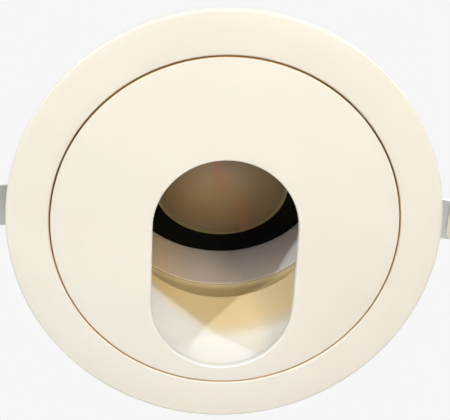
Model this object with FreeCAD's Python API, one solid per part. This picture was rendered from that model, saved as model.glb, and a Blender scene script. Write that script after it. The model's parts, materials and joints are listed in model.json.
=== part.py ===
import FreeCAD, Part
import os
from math import cos, hypot, pi, radians, sin, sqrt, tan

# Recessed ceiling spotlight, seen from the room through a slot in a turning face disc.
# Millimetres. Z points up into the ceiling and is zero on the ceiling's surface,
# where the trim ring's flange lies. Y points along the slot, to its long end.
# Heights in the lamp head are measured along its own axis from the tilt pivot,
# positive towards its back.

Vector = FreeCAD.Vector
centre = Vector(0, 0, 0)
axis_x = Vector(1, 0, 0)
axis_y = Vector(0, 1, 0)
axis_z = Vector(0, 0, 1)
full_turn = 360.0
half_turn = 180.0
quarter_turn = 90.0
eighth_turn = 45.0

# Clearances and the overrun of cuts
overrun = 1.0
thread_gap = 0.05
running_gap = 0.05
seat_gap = 0.1

# Trim ring
flange_width = 8.5
flange_thickness = 2.0
flange_edge_round = 0.8
mouth_chamfer = 0.25
collar_wall = 2.2
collar_height = 13.5
ledge_height = 7.0
ledge_thickness = 1.5
ledge_width = 1.8
ledge_chamfer = 0.3
glide_thickness = 0.5
glide_side_gap = 0.15

# Face disc with the slot, its skirt, and the journal that turns in the ledge
seam_gap = 0.4
disc_edge_round = 0.2
slot_half_width = 18.5
slot_end_gap = 0.7
slot_edge_chamfer = 0.2
skirt_wall = 2.0
skirt_step_height = 5.0
journal_gap = 0.1
journal_wall = 2.0
shoulder_gap = 0.2
boss_radius = 1.9
boss_height = 3.5

# Cone baffle, narrowest at the throat, and a ball round the tilt pivot above it
cone_skirt_gap = 0.2
cone_wall = 1.4
throat_gap = 1.0
throat_round = 0.6
sweep_gap = 0.5
ball_wall = 1.25
ball_rise = 0.8
cone_rib_height = 1.2
cone_rib_gap = 0.3
cone_flat_gap = 0.3
trunnion_gap = 0.7

# Turntable ring that hangs on the ledge, and the stops of its turning
turntable_thickness = 1.5
turntable_cone_gap = 0.4
stop_tab_width = 1.8
stop_tab_depth = 1.3
stop_tab_height = 2.1
stop_pin_radius = 0.8
stop_pin_length = 3.4
stop_pin_lift = 1.2
stop_pin_chamfer = 0.2

# Small screws
turntable_screw_radius = 0.95
turntable_screw_head = 1.8
turntable_screw_length = 4.6
turntable_screw_count = 4
yoke_screw_radius = 0.95
yoke_screw_head = 1.8
yoke_screw_head_height = 1.2
yoke_screw_length = 2.8
yoke_screw_spacing = 9.6
socket_share = 0.5
socket_depth_share = 0.6
head_round_share = 0.3

# Tilt pivot, and the tilt at which the lamp head rests
pivot_height = 32.0
rest_tilt = 25.0

# Yoke arms, bent strip
arm_thickness = 1.5
arm_width = 11.0
arm_round = 5.0
arm_bend = 1.0
foot_width = 15.0
foot_inset = 2.5
foot_round = 2.0
foot_rise = 2.4

# Pivot screws and washers
pivot_radius = 1.5
pivot_thread_radius = 1.25
pivot_thread_length = 5.0
pivot_head_radius = 3.2
pivot_head_height = 1.8
friction_washer_radius = 4.2
friction_washer_thickness = 0.5
spring_washer_radius = 3.3
spring_washer_thickness = 0.4

# Polished tube round the lamp
tube_step = 2.5
tube_wall = 0.7
tube_length = 14.0
tube_rim_round = 0.3

# Lamp cup with its trunnion lugs
cup_nose_length = 1.2
cup_nose_gap = 0.1
cup_flange_thickness = 3.0
cup_radius = 25.0
cup_shoulder_height = 6.2
cup_back_height = 14.0
cup_base_thickness = 3.0
cup_back_chamfer = 0.6
cup_mouth_wall = 2.4
cup_step_height = 1.2
cup_wall = 3.8
cup_wire_hole = 2.0
lug_radius = 4.6
lug_height = 5.5
lug_overhang = 5.4
lug_tube_gap = 0.3
lug_root_depth = 1.0

# Bezel and lens
bezel_width = 5.9
bezel_thickness = 1.2
bezel_lip_thickness = 0.8
bezel_edge_round = 0.5
bezel_lip_round = 0.3
bezel_skirt_wall = 1.0
bezel_skirt_length = 1.9
lens_dome = 0.5
lens_edge_chamfer = 0.2

# Reflector bowl
bowl_flange_thickness = 0.8
bowl_flange_gap = 0.2
bowl_mouth_gap = 0.5
bowl_throat = 7.4
bowl_depth = 7.0
bowl_wall = 0.8
bowl_bulge = 1.6

# LED board, chip and holder
board_gap = 2.84
board_thickness = 1.2
board_corner = 2.0
chip_gap = 1.3
chip_thickness = 0.5
holder_gap = 2.6
holder_band = 4.9
holder_thickness = 1.2
holder_ear_radius = 3.0
holder_ear_inset = 4.0
led_screw_radius = 1.2
led_screw_head = 2.2
led_screw_head_height = 1.2
led_screw_length = 4.6

# Heat sink and its fastening
pad_thickness = 0.5
pad_inset = 3.0
sink_taper = 1.4
sink_base_thickness = 3.0
sink_back_height = 44.0
sink_core_radius = 7.5
sink_bore = 4.0
sink_edge_round = 1.0
fin_count = 24
fin_thickness = 1.3
sink_screw_radius = 1.45
sink_screw_head = 2.4
sink_screw_head_height = 1.4
sink_screw_length = 5.4
sink_screw_inset = 3.6
sink_screw_count = 3

# Cable gland, empty
gland_shank_length = 6.0
gland_hex_width = 11.0
gland_hex_height = 3.4
gland_thread_radius = 4.4
gland_thread_length = 2.8
gland_bore = 3.0
gland_cap_radius = 5.6
gland_cap_length = 5.4
gland_cap_end = 1.4
gland_cap_round = 1.4
gland_cap_notches = 8
gland_notch_radius = 0.7
gland_seal_bore = 1.9
gland_seal_lip = 0.4

# Spring clips on the collar
clip_pivot_gap = 4.2
clip_pivot_inset = 5.6
clip_rest_angle = 15.0
clip_stop_gap = 0.5
clip_length = 34.0
clip_width = 11.0
clip_thickness = 0.9
clip_web_start = 4.4
clip_eye_radius = 2.4
clip_eye_round = 2.2
clip_cheek_length = 14.0
clip_cheek_end = 1.2
clip_tip_round = 2.0
clip_catch_reach = 11.0
clip_catch_height = 1.4
clip_catch_width = 2.4
clip_catch_thickness = 1.0
ear_gap = 0.4
ear_thickness = 1.5
ear_radius = 3.0
ear_inset = 1.5
ear_round = 2.6
ear_floor_gap = 1.6
ear_floor_thickness = 1.0
ear_root = 1.8
clip_pin_radius = 1.25
clip_pin_head_radius = 2.0
clip_pin_head_thickness = 0.7
pad_length = 12.0
pad_width = 10.0
pad_depth = 1.4
pad_tip_gap = 1.0
pad_round = 2.0
pad_groove_count = 3
pad_groove_width = 1.0
pad_groove_depth = 0.5

# Torsion springs of the clips
wire_radius = 0.4
coil_radius = 2.25
coil_turns = 5
coil_sectors = 4
coil_pitch = 1.5
coil_end_share = 0.5
spring_heel_reach = 1.5
spring_heel_bend = 0.9
spring_samples = 400

# Radii that follow from the lamp cup outwards, so that each piece stays clear of the next
face_height = -flange_thickness
tube_bore = cup_radius + tube_step
tube_radius = tube_bore + tube_wall
throat_radius = tube_radius + throat_gap
ball_radius = hypot(tube_radius, tube_length) + sweep_gap
lug_face = throat_radius + lug_overhang
arm_inner = lug_face + friction_washer_thickness + seat_gap
arm_outer = arm_inner + arm_thickness
clip_pivot_reach = arm_outer + clip_pivot_gap
collar_radius = clip_pivot_reach + clip_pivot_inset
trim_radius = collar_radius + flange_width
bore_radius = collar_radius - collar_wall
ledge_radius = bore_radius - ledge_width
disc_radius = bore_radius - seam_gap
skirt_bore = disc_radius - skirt_wall
journal_radius = ledge_radius - journal_gap
journal_bore = journal_radius - journal_wall
boss_reach = journal_radius - boss_radius + seat_gap
cone_mouth_radius = skirt_bore - cone_skirt_gap - cone_wall
cone_rib_radius = boss_reach - boss_radius - cone_rib_gap
slot_centre_distance = cone_mouth_radius - slot_end_gap - slot_half_width
foot_reach = disc_radius - foot_inset

# Other sizes that follow from the ones above
glide_height = ledge_height + ledge_thickness
turntable_height = glide_height + glide_thickness + running_gap
turntable_top = turntable_height + turntable_thickness
throat_height = pivot_height - sqrt(ball_radius ** 2 - throat_radius ** 2)
ball_top = pivot_height + ball_rise
cone_slope = (cone_mouth_radius - throat_radius) / throat_height
knee_base = cone_slope * (cone_mouth_radius + cone_wall) + pivot_height
knee_span = (cone_mouth_radius + cone_wall) ** 2 + pivot_height ** 2 - (ball_radius + ball_wall) ** 2
knee_scale = 1 + cone_slope ** 2
cone_knee = (knee_base - sqrt(knee_base ** 2 - knee_scale * knee_span)) / knee_scale
trunnion_slot = hypot(lug_radius, lug_height) + trunnion_gap
foot_top = turntable_top + arm_thickness
spring_washer_place = arm_outer + seat_gap
pivot_head_place = spring_washer_place + spring_washer_thickness
cup_mouth_bore = cup_radius - cup_mouth_wall
cup_bore = cup_radius - cup_wall
lug_root = cup_radius - lug_root_depth
cup_base_height = cup_back_height - cup_base_thickness
bezel_opening = cup_radius - bezel_width
bezel_front = -cup_nose_length - bezel_thickness
lens_front = bezel_front + bezel_lip_thickness
bezel_skirt_radius = cup_mouth_bore - seat_gap
lens_radius = bezel_skirt_radius - bezel_skirt_wall - seat_gap
bowl_mouth = bezel_opening + bowl_mouth_gap
bowl_front = cup_step_height - bowl_flange_thickness
board_height = cup_base_height - board_thickness
holder_height = board_height - holder_thickness
holder_ear_reach = cup_bore - holder_ear_inset
pad_radius = cup_radius - pad_inset
sink_screw_reach = cup_bore - sink_screw_inset
board_width = 2 * (sink_screw_reach * sin(2 * pi / sink_screw_count) - sink_screw_head - board_gap)
holder_radius = sink_screw_reach - sink_screw_head - holder_gap
holder_bore = holder_radius - holder_band
chip_radius = holder_bore - chip_gap
sink_back_radius = cup_radius - sink_taper
sink_height = cup_back_height + pad_thickness
sink_base_top = sink_height + sink_base_thickness
gland_hex_top = sink_back_height + gland_hex_height
gland_cap_low = gland_hex_top + seat_gap
gland_cap_top = gland_cap_low + gland_cap_length
clip_drop = coil_radius + wire_radius + seat_gap + clip_thickness
clip_pivot_height = (collar_height + clip_stop_gap + clip_drop / cos(radians(clip_rest_angle))
                     + (collar_radius - clip_pivot_reach) * tan(radians(clip_rest_angle)))
clip_half_width = clip_width / 2
cheek_inner = clip_half_width - clip_thickness
web_top = clip_thickness - clip_drop
ear_inner = clip_half_width + ear_gap
ear_outer = ear_inner + ear_thickness
ear_floor_top = clip_pivot_height - coil_radius - wire_radius - ear_floor_gap
spring_half_width = coil_pitch * (coil_turns - 1 / coil_sectors) / 2


def closed_wire(corners):
    """Closed flat wire in the X-Z plane; a corner is (x, z) or (x, z, radius of its rounding)."""
    points = [Vector(c[0], 0, c[1]) for c in corners]
    edges = []
    leaves = []
    arrives = []
    for i, point in enumerate(points):
        if len(corners[i]) == 2:
            arrives.append(point)
            leaves.append(point)
            continue
        radius = corners[i][2]
        back = (points[i - 1] - point).normalize()
        ahead = (points[(i + 1) % len(points)] - point).normalize()
        inward = (back + ahead).normalize()
        half_angle = back.getAngle(ahead) / 2
        start = point + back * (radius / tan(half_angle))
        end = point + ahead * (radius / tan(half_angle))
        middle = point + inward * (radius / sin(half_angle) - radius)
        edges.append(Part.Arc(start, middle, end).toShape())
        arrives.append(start)
        leaves.append(end)
    for i, leave in enumerate(leaves):
        edges.append(Part.LineSegment(leave, arrives[(i + 1) % len(points)]).toShape())
    return Part.Wire(Part.__sortEdges__(edges))


def chained(stops):
    """Closed flat wire in the X-Z plane; a stop is (x, z), or (x, z, x, z) for an arc's middle and end."""
    ends = [Vector(stop[-2], 0, stop[-1]) for stop in stops]
    edges = []
    for i, stop in enumerate(stops):
        if len(stop) == 2:
            edges.append(Part.LineSegment(ends[i - 1], ends[i]).toShape())
        else:
            edges.append(Part.Arc(ends[i - 1], Vector(stop[0], 0, stop[1]), ends[i]).toShape())
    return Part.Wire(edges)


def turned(corners):
    """Solid turned about Z from an outline of (radius, height) corners."""
    return Part.Face(closed_wire(corners)).revolve(centre, axis_z, full_turn)


def side_plate(corners, start, end):
    """Plate square to Y between two places on Y, from an outline of (x, z) corners."""
    flat = Part.Face(closed_wire(corners))
    flat.translate(axis_y * start)
    return flat.extrude(axis_y * (end - start))


def flat_plate(corners, low, high):
    """Level plate between two heights, from an outline of (x, y) corners."""
    flat = Part.Face(closed_wire(corners))
    flat.rotate(centre, axis_x, -quarter_turn)
    flat.translate(axis_z * low)
    return flat.extrude(axis_z * (high - low))


def cross_plate(corners, start, end):
    """Plate square to X between two places on X, from an outline of (y, z) corners."""
    flat = Part.Face(closed_wire(corners))
    flat.rotate(centre, axis_z, quarter_turn)
    flat.translate(axis_x * start)
    return flat.extrude(axis_x * (end - start))


def bar(radius, low, high):
    """Round bar along Z."""
    return Part.makeCylinder(radius, high - low, axis_z * low, axis_z)


def cross_bar(radius, start, end):
    """Round bar along X."""
    return Part.makeCylinder(radius, end - start, axis_x * start, axis_x)


def ring(bore, radius, low, high):
    """Plain ring about Z."""
    return bar(radius, low, high).cut(bar(bore, low - overrun, high + overrun))


def cross_ring(bore, radius, start, end):
    """Plain ring about X."""
    return cross_bar(radius, start, end).cut(cross_bar(bore, start - overrun, end + overrun))


def block(x_low, x_high, y_low, y_high, z_low, z_high):
    """Box between its low and high sides."""
    return Part.makeBox(x_high - x_low, y_high - y_low, z_high - z_low, Vector(x_low, y_low, z_low))


def spun(shape, angle):
    """Copy turned about Z."""
    copy = shape.copy()
    copy.rotate(centre, axis_z, angle)
    return copy


def moved(shape, x, y, z):
    """Copy shifted."""
    copy = shape.copy()
    copy.translate(Vector(x, y, z))
    return copy


def circle_of(shape, reach, count, first_angle):
    """Evenly spaced copies of a shape at a distance from Z."""
    placed = moved(shape, reach, 0, 0)
    return [spun(placed, first_angle + i * full_turn / count) for i in range(count)]


def hexagon(width, low, high):
    """Six-sided bar along Z of a given width across its flats."""
    corner = width / sqrt(3)
    sixth = pi / 3
    corners = [(corner * cos(i * sixth), corner * sin(i * sixth)) for i in range(6)]
    return flat_plate(corners, low, high)


def cap_screw(shank, head, head_height, length):
    """Round-headed screw pointing down, the underside of its head at zero."""
    body = turned([
        (0, -length),
        (shank, -length, shank * head_round_share),
        (shank, 0),
        (head, 0),
        (head, head_height, head * head_round_share),
        (0, head_height),
    ])
    floor = head_height * (1 - socket_depth_share)
    return body.cut(hexagon(head * 2 * socket_share, floor, head_height + overrun))


def flush_screw(shank, head, length):
    """Countersunk screw pointing down, the top of its head at zero."""
    body = turned([
        (0, -length),
        (shank, -length, shank * head_round_share),
        (shank, shank - head),
        (head, 0),
        (0, 0),
    ])
    floor = (shank - head) * socket_depth_share
    return body.cut(hexagon(head * 2 * socket_share, floor, overrun))


def flush_hole(shank, head, depth):
    """Countersunk hole whose mouth is at zero."""
    hole = shank + thread_gap
    mouth = head + thread_gap
    taper = Part.makeCone(hole, mouth, mouth - hole, axis_z * (hole - mouth), axis_z)
    return bar(hole, -depth - overrun, 0).fuse([taper, bar(mouth, 0, overrun)])


def tilted(shape):
    """Copy of a lamp head shape, tilted to its rest angle on the pivot."""
    copy = shape.copy()
    copy.rotate(centre, axis_x, rest_tilt)
    copy.translate(axis_z * pivot_height)
    return copy


# Trim, which stands still in the ceiling

def trim_ring():
    """Flange, collar and inner ledge in one casting, with the ears of both spring clips."""
    casting = turned([
        (ledge_radius, ledge_height, ledge_chamfer),
        (bore_radius, ledge_height),
        (bore_radius, face_height + mouth_chamfer),
        (bore_radius + mouth_chamfer, face_height),
        (trim_radius, face_height, flange_edge_round),
        (trim_radius, 0),
        (collar_radius, 0),
        (collar_radius, collar_height),
        (bore_radius, collar_height),
        (bore_radius, glide_height),
        (ledge_radius, glide_height),
    ])
    ears = clip_ears()
    return casting.fuse([ears, spun(ears, half_turn)]).cut(stop_pin_hole())


def clip_ears():
    """Two ears, and the floor between them that the spring's heel bears on, on the right side."""
    reach_in = clip_pivot_reach - ear_radius
    top = clip_pivot_height + ear_radius
    slab = side_plate([
        (reach_in, ear_floor_top - ear_floor_thickness),
        (bore_radius, collar_height),
        (bore_radius, collar_height - ear_root),
        (collar_radius, collar_height - ear_root),
        (collar_radius, collar_height),
        (clip_pivot_reach + ear_radius, top, ear_round),
        (reach_in, top, ear_round),
    ], -ear_outer, ear_outer)
    inside = bar(collar_radius - ear_inset, 0, top + overrun)
    between = block(0, trim_radius, -ear_inner, ear_inner, ear_floor_top, top + overrun)
    window = block(clip_pivot_reach, trim_radius, -ear_inner, ear_inner, collar_height, top + overrun)
    return slab.common(inside).cut([between, window, clip_pin_hole(thread_gap)])


def clip_pin_hole(gap):
    """Hole on the clip's hinge axis, through both ears."""
    start = Vector(clip_pivot_reach, -ear_outer - overrun, clip_pivot_height)
    return Part.makeCylinder(clip_pin_radius + gap, (ear_outer + overrun) * 2, start, axis_y)


def glide_ring():
    """Plastic ring that the turntable slides on."""
    return ring(ledge_radius + glide_side_gap, bore_radius - glide_side_gap, glide_height,
                glide_height + glide_thickness)


def stop_pin():
    """End stop of the turning, opposite the turntable's tab at rest."""
    tip = collar_radius - stop_pin_length
    end = collar_radius - seat_gap
    return across_collar(turned([
        (0, tip),
        (stop_pin_radius, tip, stop_pin_chamfer),
        (stop_pin_radius, end),
        (0, end),
    ]))


def stop_pin_hole():
    """Hole of the stop pin through the collar."""
    return across_collar(bar(stop_pin_radius + thread_gap, collar_radius - stop_pin_length,
                             collar_radius + overrun))


def across_collar(shape):
    """Shape drawn along Z, laid through the collar on the side away from the slot's end."""
    shape.rotate(centre, axis_x, quarter_turn)
    return moved(shape, 0, 0, turntable_top + stop_pin_lift)


def clip_pin():
    """Hinge pin of the right clip, a head outside each ear."""
    half = ear_outer + clip_pin_head_thickness
    pin = turned([
        (0, -half),
        (clip_pin_head_radius, -half, clip_pin_head_thickness / 2),
        (clip_pin_head_radius, -ear_outer),
        (clip_pin_radius, -ear_outer),
        (clip_pin_radius, ear_outer),
        (clip_pin_head_radius, ear_outer),
        (clip_pin_head_radius, half, clip_pin_head_thickness / 2),
        (0, half),
    ])
    pin.rotate(centre, axis_x, quarter_turn)
    return moved(pin, clip_pivot_reach, 0, clip_pivot_height)


# Rotor, which turns in the trim

def face_disc():
    """Face with the slot, and the skirt and journal behind it."""
    shoulder = ledge_height - shoulder_gap
    disc = turned([
        (0, face_height),
        (disc_radius, face_height, disc_edge_round),
        (disc_radius, shoulder),
        (journal_radius, shoulder),
        (journal_radius, turntable_height),
        (journal_bore, turntable_height),
        (journal_bore, skirt_step_height + skirt_bore - journal_bore),
        (skirt_bore, skirt_step_height),
        (skirt_bore, 0),
        (0, 0),
    ])
    boss = bar(boss_radius, turntable_height - boss_height, turntable_height)
    hole = bar(turntable_screw_radius + thread_gap, turntable_top - turntable_screw_length - seat_gap,
               turntable_height + overrun)
    outside = ring(journal_radius, trim_radius, shoulder, turntable_height + overrun)
    disc = disc.fuse(circle_of(boss, boss_reach, turntable_screw_count, eighth_turn))
    disc = disc.cut(circle_of(hole, boss_reach, turntable_screw_count, eighth_turn) + [outside])
    disc = disc.cut(slot_cutter()).removeSplitter()
    return disc.makeChamfer(slot_edge_chamfer, slot_edges(disc))


def slot_cutter():
    """Long slot with round ends, the upper end centred on the disc."""
    low, high = face_height - overrun, overrun
    far_end = moved(bar(slot_half_width, low, high), 0, slot_centre_distance, 0)
    middle = block(-slot_half_width, slot_half_width, 0, slot_centre_distance, low, high)
    return bar(slot_half_width, low, high).fuse([far_end, middle])


def slot_edges(disc):
    """Edges of the slot on the face seen from the room."""
    reach = slot_half_width + slot_centre_distance + thread_gap
    return [edge for edge in disc.Edges
            if edge.BoundBox.ZMax < face_height + thread_gap and edge.BoundBox.YMax < reach]


def cone_baffle():
    """Funnel behind the face with a ball above it, and a rib that the turntable clamps."""
    rib_low = turntable_height - cone_rib_height
    outer = ball_radius + ball_wall
    outer_middle = (cone_knee + ball_top) / 2
    inner_middle = (throat_height + ball_top) / 2
    cone = Part.Face(chained([
        (cone_mouth_radius, 0),
        (cone_outside(0), 0),
        (cone_outside(rib_low), rib_low),
        (cone_rib_radius, rib_low),
        (cone_rib_radius, turntable_height),
        (cone_outside(turntable_height), turntable_height),
        (cone_outside(cone_knee), cone_knee),
        (ball_reach(outer, outer_middle), outer_middle, ball_reach(outer, ball_top), ball_top),
        (ball_reach(ball_radius, ball_top), ball_top),
        (ball_reach(ball_radius, inner_middle), inner_middle, throat_radius, throat_height),
    ])).revolve(centre, axis_z, full_turn)
    throat = [edge for edge in cone.Edges if abs(edge.BoundBox.ZMax - throat_height) < thread_gap
              and edge.BoundBox.ZLength < thread_gap and edge.BoundBox.XMax < throat_radius + thread_gap]
    cone = cone.makeFillet(throat_round, throat)
    notch = moved(cross_bar(lug_radius + trunnion_gap, -arm_outer, arm_outer), 0, 0, pivot_height)
    slot = block(-arm_outer, arm_outer, -trunnion_slot, trunnion_slot, pivot_height, ball_top + overrun)
    flat = block(arm_inner - cone_flat_gap, trim_radius, -foot_width, foot_width, turntable_top, ball_top)
    return cone.cut([notch, slot, flat, spun(flat, half_turn)])


def ball_reach(radius, height):
    """Distance from Z, at a height, of a ball about the tilt pivot."""
    return sqrt(radius ** 2 - (height - pivot_height) ** 2)


def cone_outside(height):
    """Outer radius of the funnel at a height."""
    return cone_mouth_radius + cone_wall - cone_slope * height


def turntable_ring():
    """Flat ring that carries the rotor on the ledge, with the tab that meets the stop pin."""
    bore = cone_outside(turntable_height) + turntable_cone_gap
    plain = ring(bore, disc_radius, turntable_height, turntable_top)
    tab = block(-stop_tab_width / 2, stop_tab_width / 2, disc_radius - stop_tab_depth, disc_radius,
                turntable_top - thread_gap, turntable_top + stop_tab_height)
    plain = plain.fuse(tab.common(bar(disc_radius, 0, foot_top + stop_tab_height)))
    hole = flush_hole(turntable_screw_radius, turntable_screw_head, turntable_thickness)
    holes = circle_of(moved(hole, 0, 0, turntable_top), boss_reach, turntable_screw_count, eighth_turn)
    return plain.cut(holes + yoke_screw_holes()).removeSplitter()


def turntable_screws():
    """Countersunk screws through the turntable into the face disc."""
    screw = flush_screw(turntable_screw_radius, turntable_screw_head, turntable_screw_length)
    return circle_of(moved(screw, 0, 0, turntable_top), boss_reach, turntable_screw_count, eighth_turn)


def yoke_arm():
    """Right arm: a strip bent out at its foot and rounded at the pivot."""
    top = pivot_height + arm_width / 2
    strip = side_plate([
        (arm_inner, top),
        (arm_inner, turntable_top, arm_bend + arm_thickness),
        (foot_reach, turntable_top),
        (foot_reach, foot_top),
        (arm_outer, foot_top, arm_bend),
        (arm_outer, top),
    ], -foot_width / 2, foot_width / 2)
    outline = cross_plate([
        (-foot_width / 2, turntable_top),
        (-foot_width / 2, foot_top + foot_rise, foot_round),
        (-arm_width / 2, foot_top + foot_rise * 2),
        (-arm_width / 2, top, arm_round),
        (arm_width / 2, top, arm_round),
        (arm_width / 2, foot_top + foot_rise * 2),
        (foot_width / 2, foot_top + foot_rise, foot_round),
        (foot_width / 2, turntable_top),
    ], 0, trim_radius)
    pivot_hole = moved(cross_bar(pivot_radius + running_gap, 0, trim_radius), 0, 0, pivot_height)
    return strip.common(outline).cut([pivot_hole] + yoke_screw_holes())


def yoke_screw_places():
    """Places of the foot screws, both sides."""
    reach = (arm_outer + arm_bend + foot_reach) / 2
    return [(side * reach, way * yoke_screw_spacing / 2) for side in (-1, 1) for way in (-1, 1)]


def yoke_screw_holes():
    """Holes for the foot screws through the feet and the turntable."""
    hole = bar(yoke_screw_radius + thread_gap, turntable_height - overrun, foot_top + overrun)
    return [moved(hole, x, y, 0) for x, y in yoke_screw_places()]


def yoke_screws():
    """Screws that hold the feet of both arms."""
    screw = cap_screw(yoke_screw_radius, yoke_screw_head, yoke_screw_head_height, yoke_screw_length)
    return [moved(screw, x, y, foot_top) for x, y in yoke_screw_places()]


# Lamp head, which tilts in the yoke

def pivot_screw():
    """Right shoulder screw, threaded into the lug and turning in the arm."""
    head_top = pivot_head_place + pivot_head_height
    screw = turned([
        (0, lug_face - pivot_thread_length),
        (pivot_thread_radius, lug_face - pivot_thread_length),
        (pivot_thread_radius, lug_face),
        (pivot_radius, lug_face),
        (pivot_radius, pivot_head_place),
        (pivot_head_radius, pivot_head_place),
        (pivot_head_radius, head_top, pivot_head_radius * head_round_share),
        (0, head_top),
    ])
    floor = head_top - pivot_head_height * socket_depth_share
    screw = screw.cut(hexagon(pivot_head_radius * 2 * socket_share, floor, head_top + overrun))
    screw.rotate(centre, axis_y, quarter_turn)
    return screw


def friction_washers():
    """Washers between the lugs and the arms."""
    washer = cross_ring(pivot_radius + running_gap, friction_washer_radius, lug_face,
                        lug_face + friction_washer_thickness)
    return [washer, spun(washer, half_turn)]


def spring_washers():
    """Washers under the heads of the pivot screws."""
    washer = cross_ring(pivot_radius + running_gap, spring_washer_radius, spring_washer_place,
                        pivot_head_place)
    return [washer, spun(washer, half_turn)]


def polished_tube():
    """Bright tube ahead of the lamp."""
    return turned([
        (tube_bore, -tube_length, tube_rim_round),
        (tube_radius, -tube_length, tube_rim_round),
        (tube_radius, 0),
        (tube_bore, 0),
    ])


def lamp_cup():
    """Black housing of the lamp, its nose inside the polished tube, a trunnion lug on each side."""
    nose = tube_bore - cup_nose_gap
    cup = turned([
        (cup_mouth_bore, -cup_nose_length),
        (nose, -cup_nose_length),
        (nose, 0),
        (tube_radius, 0),
        (tube_radius, cup_flange_thickness),
        (cup_radius, cup_shoulder_height),
        (cup_radius, cup_back_height, cup_back_chamfer),
        (cup_wire_hole, cup_back_height),
        (cup_wire_hole, cup_base_height),
        (cup_bore, cup_base_height),
        (cup_bore, cup_step_height),
        (cup_mouth_bore, cup_step_height),
    ])
    lug = trunnion_lug()
    led_hole = bar(led_screw_radius + thread_gap, cup_base_height - overrun,
                   holder_height + led_screw_length + seat_gap)
    sink_hole = bar(sink_screw_radius + thread_gap, cup_base_height - overrun, cup_back_height + overrun)
    holes = circle_of(led_hole, holder_ear_reach, 2, quarter_turn)
    holes += circle_of(sink_hole, sink_screw_reach, sink_screw_count, 0)
    return cup.fuse([lug, spun(lug, half_turn)]).cut(holes).removeSplitter()


def trunnion_lug():
    """Right lug: round about the pivot, clear of the tube ahead of the flange, and drilled."""
    plate = cross_plate([
        (-lug_radius, 0),
        (lug_radius, 0),
        (lug_radius, lug_height),
        (-lug_radius, lug_height),
    ], lug_root, lug_face)
    nose = cross_bar(lug_radius, lug_root, lug_face)
    clear = bar(tube_radius + lug_tube_gap, -lug_radius - overrun, 0)
    drill = cross_bar(pivot_thread_radius + thread_gap, lug_face - pivot_thread_length - seat_gap,
                      lug_face + overrun)
    return plate.fuse(nose.cut(clear)).cut(drill)


def front_bezel():
    """Black ring round the lens, with a skirt that snaps into the cup."""
    skirt_bore_radius = bezel_skirt_radius - bezel_skirt_wall
    return turned([
        (bezel_opening, bezel_front, bezel_lip_round),
        (cup_radius, bezel_front, bezel_edge_round),
        (cup_radius, -cup_nose_length),
        (bezel_skirt_radius, -cup_nose_length),
        (bezel_skirt_radius, lens_front + bezel_skirt_length),
        (skirt_bore_radius, lens_front + bezel_skirt_length),
        (skirt_bore_radius, lens_front),
        (bezel_opening, lens_front),
    ])


def lens():
    """Round glass behind the bezel, its front slightly domed."""
    blank = turned([
        (0, lens_front - lens_dome),
        (lens_radius, lens_front - lens_dome),
        (lens_radius, bowl_front, lens_edge_chamfer),
        (0, bowl_front),
    ])
    dome_radius = (bezel_opening ** 2 + lens_dome ** 2) / (2 * lens_dome)
    return blank.common(Part.makeSphere(dome_radius, axis_z * (lens_front - lens_dome + dome_radius)))


def reflector_bowl():
    """Thin bowl round the chip, its flange on the step of the cup."""
    back = bowl_front + bowl_flange_thickness + bowl_depth
    inner_mouth = Vector(bowl_mouth, 0, bowl_front)
    inner_back = Vector(bowl_throat, 0, back)
    chord = inner_back - inner_mouth
    out_way = Vector(-chord.z, 0, chord.x).normalize() * -1
    inner_middle = inner_mouth + chord * 0.5 + out_way * bowl_bulge
    outer_middle = inner_middle + out_way * bowl_wall
    flange_back = bowl_front + bowl_flange_thickness
    flange_radius = cup_mouth_bore - bowl_flange_gap
    return Part.Face(chained([
        (flange_radius, flange_back),
        (flange_radius, bowl_front),
        (bowl_mouth, bowl_front),
        (inner_middle.x, inner_middle.z, bowl_throat, back),
        (bowl_throat + bowl_wall, back),
        (outer_middle.x, outer_middle.z, bowl_mouth + bowl_wall, flange_back),
    ])).revolve(centre, axis_z, full_turn)


def led_board():
    """Square board with clipped corners."""
    half = board_width / 2
    inner = half - board_corner
    corners = [(half, inner), (inner, half), (-inner, half), (-half, inner),
               (-half, -inner), (-inner, -half), (inner, -half), (half, -inner)]
    return flat_plate(corners, board_height, cup_base_height)


def led_chip():
    """Round light-giving face on the board."""
    return bar(chip_radius, board_height - chip_thickness, board_height)


def led_holder():
    """Plastic ring that presses the board down, with two legs beside it."""
    plate = bar(holder_radius, holder_height, board_height)
    ear = bar(holder_ear_radius, holder_height, cup_base_height)
    half = holder_ear_radius
    bridge = block(-half, half, -holder_ear_reach, holder_ear_reach, holder_height, board_height)
    plate = plate.fuse([bridge] + circle_of(ear, holder_ear_reach, 2, quarter_turn))
    hole = bar(led_screw_radius + thread_gap, holder_height - overrun, cup_back_height)
    bore = bar(holder_bore, holder_height - overrun, board_height + overrun)
    return plate.cut([bore] + circle_of(hole, holder_ear_reach, 2, quarter_turn)).removeSplitter()


def from_the_front(screw, place, reach, count, first_angle):
    """Screws that point to the back of the head, the undersides of their heads at a height."""
    screw.rotate(centre, axis_x, half_turn)
    return circle_of(moved(screw, 0, 0, place), reach, count, first_angle)


def led_screws():
    """Screws of the LED holder."""
    screw = cap_screw(led_screw_radius, led_screw_head, led_screw_head_height, led_screw_length)
    return from_the_front(screw, holder_height, holder_ear_reach, 2, quarter_turn)


def heat_sink_screws():
    """Screws from inside the cup into the heat sink."""
    screw = cap_screw(sink_screw_radius, sink_screw_head, sink_screw_head_height, sink_screw_length)
    return from_the_front(screw, cup_base_height, sink_screw_reach, sink_screw_count, 0)


def thermal_pad():
    """Thin pad between the cup and the heat sink."""
    pad = ring(sink_bore, pad_radius, cup_back_height, sink_height)
    hole = bar(sink_screw_radius + thread_gap, cup_back_height - overrun, sink_height + overrun)
    return pad.cut(circle_of(hole, sink_screw_reach, sink_screw_count, 0))


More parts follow.
